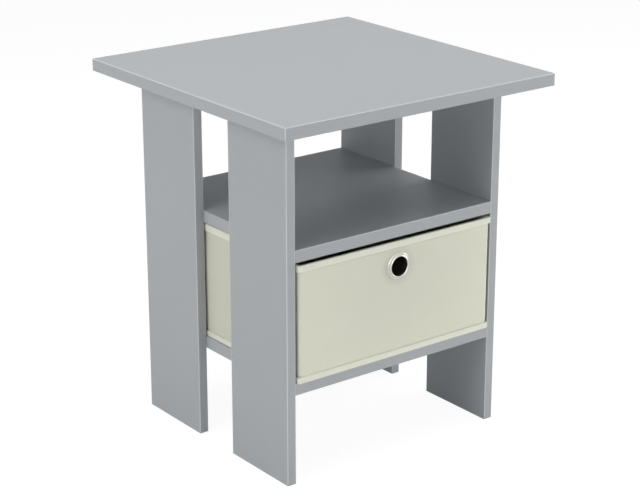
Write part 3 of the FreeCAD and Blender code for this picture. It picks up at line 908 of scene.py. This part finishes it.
class TABLE_OT_eyelet(Operator):
    """Press the eyelet into the finger hole"""

    bl_idname = "side_table.eyelet"
    bl_label = "Eyelet"

    def execute(self, context):
        shape = context.scene.bin_shape
        rim = (RING_HIGH.x - RING_LOW.x) / 2
        # The ring's section, from its outer lip over two beads and through the hole, in millimetres
        # inwards from the lip and back from the front
        section = [(0, 2.3), (0, 1.9), (0.25, 1.5), (0.7, 1.2), (1.25, 1.12), (1.75, 1.22),
                   (2.05, 1.3), (2.3, 1.1), (2.7, 0.5), (3.2, 0), (3.75, -0.3), (4.2, -0.4),
                   (4.6, -0.3), (4.85, 0.05), (4.9, 0.6), (4.7, 1.6), (4.5, 3.5), (4.5, 6.2),
                   (4.35, 6.9), (3.95, 7.35), (3.3, 7.6), (2.6, 7.45), (2.3, 7)]
        spots = [Vector((HOLE.x + rim - i * MM, RING_LOW.y + b * MM, HOLE.z)) for i, b in section]
        bpy.ops.object.select_all(action="DESELECT")
        bpy.ops.mesh.primitive_plane_add(size=1 * MM, location=spots[0])
        bpy.ops.object.transform_apply(location=True, rotation=True, scale=True)
        ring = bpy.context.object
        ring.name = ring.data.name = "grommet_ring_rolled"
        with editing(ring):
            bpy.ops.mesh.select_mode(type="VERT")
            bpy.ops.mesh.select_all(action="SELECT")
            bpy.ops.mesh.merge(type="CENTER")
            for here, there in zip(spots, spots[1:]):
                bpy.ops.mesh.extrude_vertices_move(TRANSFORM_OT_translate={"value": there - here})
            bpy.ops.mesh.select_all(action="SELECT")
            bpy.ops.mesh.spin(steps=72, angle=math.tau, center=HOLE, axis=(0, 1, 0))
            bpy.ops.mesh.select_all(action="SELECT")
            bpy.ops.mesh.remove_doubles(threshold=0.01 * MM)
            bpy.ops.mesh.normals_make_consistent(inside=False)
        apply_modifier(ring, "SOLIDIFY", thickness=0.3 * MM, offset=0)
        smooth(ring, 60)
        coat(ring, eyelet_paint("polished_eyelet", shape, 0.24))
        sheet_piece(ring, "bin", "grommet_ring")
        coat(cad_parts["grommet_washer"], eyelet_paint("eyelet_washer", shape, 0.2))
        return {"FINISHED"}


class TABLE_OT_stage(Operator):
    """Set up the floor, the lamps and the camera"""

    bl_idname = "side_table.stage"
    bl_label = "Studio"

    # Name, place, aim, width and height, and power of each lamp
    lamps = (
        ("lamp_overhead_wide", (0.0, -0.1, 2.8), (0.0, 0.0, 0.2), (2.6, 2.6), 17),
        ("lamp_overhead", (0.0, 0.0, 2.6), (0.0, 0.0, 0.2), (1.0, 1.0), 13),
        ("lamp_high_left", (-1.7, -0.3, 2.3), (0.0, 0.0, 0.2), (1.4, 2.0), 7),
        ("lamp_high_right", (1.7, 0.0, 2.3), (0.0, 0.0, 0.2), (1.4, 2.0), 15),
        ("lamp_left", (-2.2, -0.2, 1.5), (0.0, 0.0, 0.25), (2.0, 1.2), 17),
        ("lamp_low_left", (-2.4, -0.1, 0.28), (0.0, 0.0, 0.2), (1.2, 0.5), 5.5),
        ("lamp_low_front", (0.1, -2.4, 0.28), (0.0, 0.0, 0.2), (1.2, 0.5), 12),
        ("lamp_high_front", (0.2, -2.1, 1.6), (0.0, 0.0, 0.2), (1.6, 1.2), 5),
        ("lamp_back_left", (-2.0, 1.8, 0.8), (0.0, 0.0, 0.3), (1.6, 1.2), 7),
        ("lamp_low_right", (2.2, -0.9, 0.35), (0.0, 0.0, 0.25), (1.4, 0.6), 17),
    )

    def execute(self, context):
        studio = context.scene.studio
        self.set_camera(context.scene, studio)
        self.set_lamps(context.scene)
        self.set_world(context.scene, studio)
        self.set_floor(studio)
        context.scene.view_settings.view_transform = "Standard"
        return {"FINISHED"}

    @staticmethod
    def set_camera(scene, studio):
        camera = bpy.data.objects.new("camera", bpy.data.cameras.new("camera"))
        scene.collection.objects.link(camera)
        camera.location = studio.camera_place
        camera.rotation_euler = Euler((math.pi / 2 - studio.elevation, 0, studio.azimuth))
        camera.data.lens = studio.lens
        camera.data.sensor_width = 36
        camera.data.clip_start, camera.data.clip_end = 0.01, 100
        scene.camera = camera

    def set_lamps(self, scene):
        for name, place, aim, size, power in self.lamps:
            data = bpy.data.lights.new(name, "AREA")
            data.shape = "RECTANGLE"
            data.size, data.size_y = size
            data.energy = power
            lamp = bpy.data.objects.new(name, data)
            scene.collection.objects.link(lamp)
            lamp.location = place
            lamp.rotation_euler = (Vector(aim) - Vector(place)).to_track_quat("-Z", "Y").to_euler()

    @staticmethod
    def set_world(scene, studio):
        world = bpy.data.worlds.new("studio")
        scene.world = world
        world.use_nodes = True
        graph = Graph(world.node_tree)
        white = {"Color": (1, 1, 1), "Strength": 1}
        seen = graph.node("ShaderNodeBackground", inputs=white)
        sky = graph.node("ShaderNodeBackground", inputs={**white, "Strength": studio.sky_level})
        graph.show(seen, sky, "World Output")

    @staticmethod
    def set_floor(studio):
        bpy.ops.object.select_all(action="DESELECT")
        bpy.ops.mesh.primitive_plane_add(size=60, location=(0, 0, 0))
        floor = bpy.context.object
        floor.name = floor.data.name = "floor"
        with editing(floor):
            bpy.ops.mesh.subdivide(number_cuts=3)
        paint = Paint(
            "pale_floor", Roughness=0.9, Specular_IOR_Level=0.0, Base_Color=(*studio.floor, 1)
        )
        glow = paint.node("ShaderNodeEmission", inputs={"Strength": studio.floor_glow})
        dim = paint.node("ShaderNodeBsdfDiffuse", inputs={"Color": (studio.floor_shadow,) * 3})
        both = paint.node("ShaderNodeAddShader", inputs={0: glow.outputs[0], 1: dim.outputs[0]})
        paint.show(both, paint.shader, "Material Output")
        coat(floor, paint.material)


STEPS = (
    TABLE_OT_boards, TABLE_OT_fittings, TABLE_OT_stiffeners, TABLE_OT_skin, TABLE_OT_lining,
    TABLE_OT_bindings, TABLE_OT_stitches, TABLE_OT_base, TABLE_OT_eyelet, TABLE_OT_stage,
)


class TABLE_PT_panel(Panel):
    """The table's pieces and its studio"""

    bl_label = "Side table"
    bl_idname = "TABLE_PT_panel"
    bl_space_type = "VIEW_3D"
    bl_region_type = "UI"
    bl_category = "Side table"

    def draw(self, context):
        scene = context.scene
        for settings in (scene.board_finish, scene.bin_shape, scene.studio):
            box = self.layout.box()
            for key in settings.__annotations__:
                box.prop(settings, key)
        for step in STEPS:
            self.layout.operator(step.bl_idname)


CLASSES = (BoardFinish, BinShape, Studio, *STEPS, TABLE_PT_panel)


def register():
    for made in CLASSES:
        bpy.utils.register_class(made)
    bpy.types.Scene.board_finish = PointerProperty(type=BoardFinish)
    bpy.types.Scene.bin_shape = PointerProperty(type=BinShape)
    bpy.types.Scene.studio = PointerProperty(type=Studio)


def unregister():
    for name in ("board_finish", "bin_shape", "studio"):
        delattr(bpy.types.Scene, name)
    for made in reversed(CLASSES):
        bpy.utils.unregister_class(made)


def main():
    register()
    for step in STEPS:
        family, name = step.bl_idname.split(".")
        getattr(getattr(bpy.ops, family), name)()


if __name__ == "__main__":
    main()
